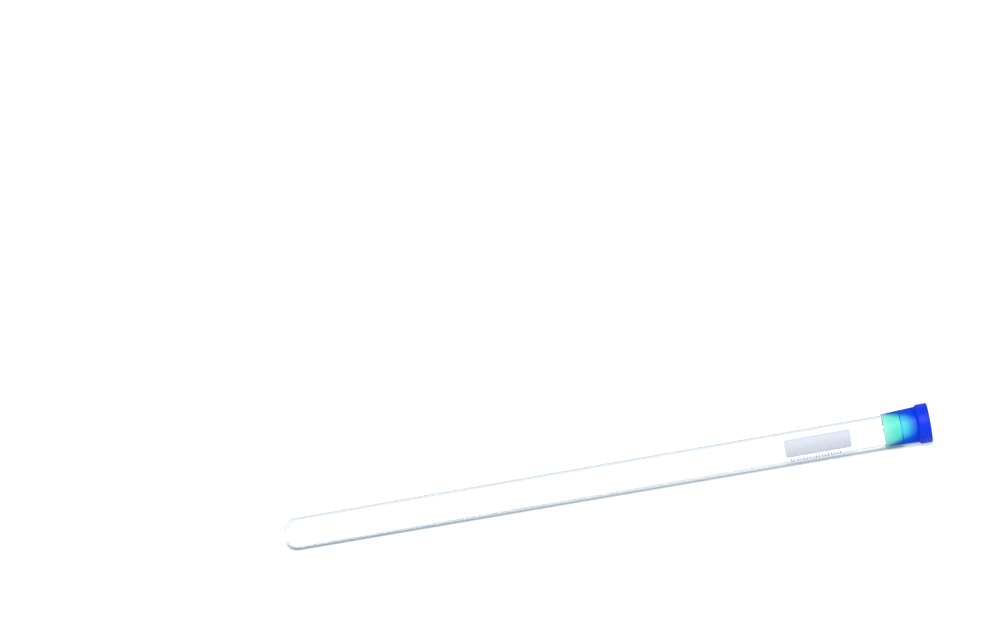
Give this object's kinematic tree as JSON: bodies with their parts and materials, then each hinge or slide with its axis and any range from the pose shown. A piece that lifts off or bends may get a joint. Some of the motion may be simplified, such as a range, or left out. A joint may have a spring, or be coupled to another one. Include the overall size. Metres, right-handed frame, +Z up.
{
  "type": "nmr tube",
  "caption": "Slim glass sample tube with a round closed bottom, an enamel marking patch and a stepped plastic cap that pulls off, lying on its side.",
  "frame": {"origin": "on the surface that the tube lies on, under the middle of its overall length", "axes": "+X along the tube from its round bottom to its cap, within half a degree; +Z up; the marking patch faces -Y and a little up"},
  "size_m": [0.1064, 0.0064, 0.0065],
  "materials": {
    "clear_glass": "polished",
    "white_enamel": "satin",
    "blue_polyethylene": "satin"
  },
  "bodies": {
    "tube": {"glass_tube": "clear_glass", "marking_patch": "white_enamel"},
    "cap": {"cap": "blue_polyethylene"}
  },
  "joints": [
    {"name": "cap_pull", "type": "slide", "parent": "tube", "child": "cap", "axis": [1, 0, 0.007], "range_m": [0, 0.03]}
  ]
}
